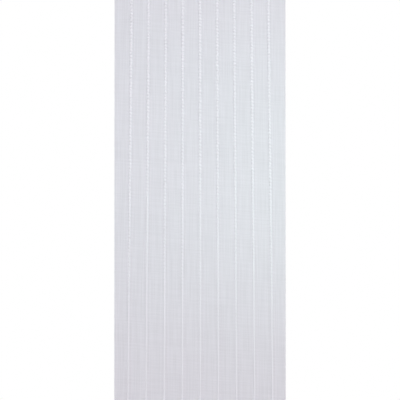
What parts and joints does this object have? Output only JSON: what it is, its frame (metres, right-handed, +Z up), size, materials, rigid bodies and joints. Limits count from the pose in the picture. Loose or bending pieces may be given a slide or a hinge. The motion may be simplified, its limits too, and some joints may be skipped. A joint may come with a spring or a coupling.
{
  "type": "vertical blind vane",
  "caption": "Long flat strip of stiffened woven cloth with raised pinstripe yarns down its length, cut square at both ends and punched with a hanging slot near the top.",
  "frame": {"origin": "middle of the hanging slot's upper edge, half way through the cloth, where a carrier's hook bears", "axes": "+Z up along the length, -Y out of the room face, +X across the width"},
  "size_m": [0.089, 0.0009, 1.37],
  "materials": {
    "woven_cloth": "matt, cool off-white plain weave with whiter pinstripe yarns"
  },
  "bodies": {
    "root": {"vane": "woven_cloth"}
  },
  "joints": []
}
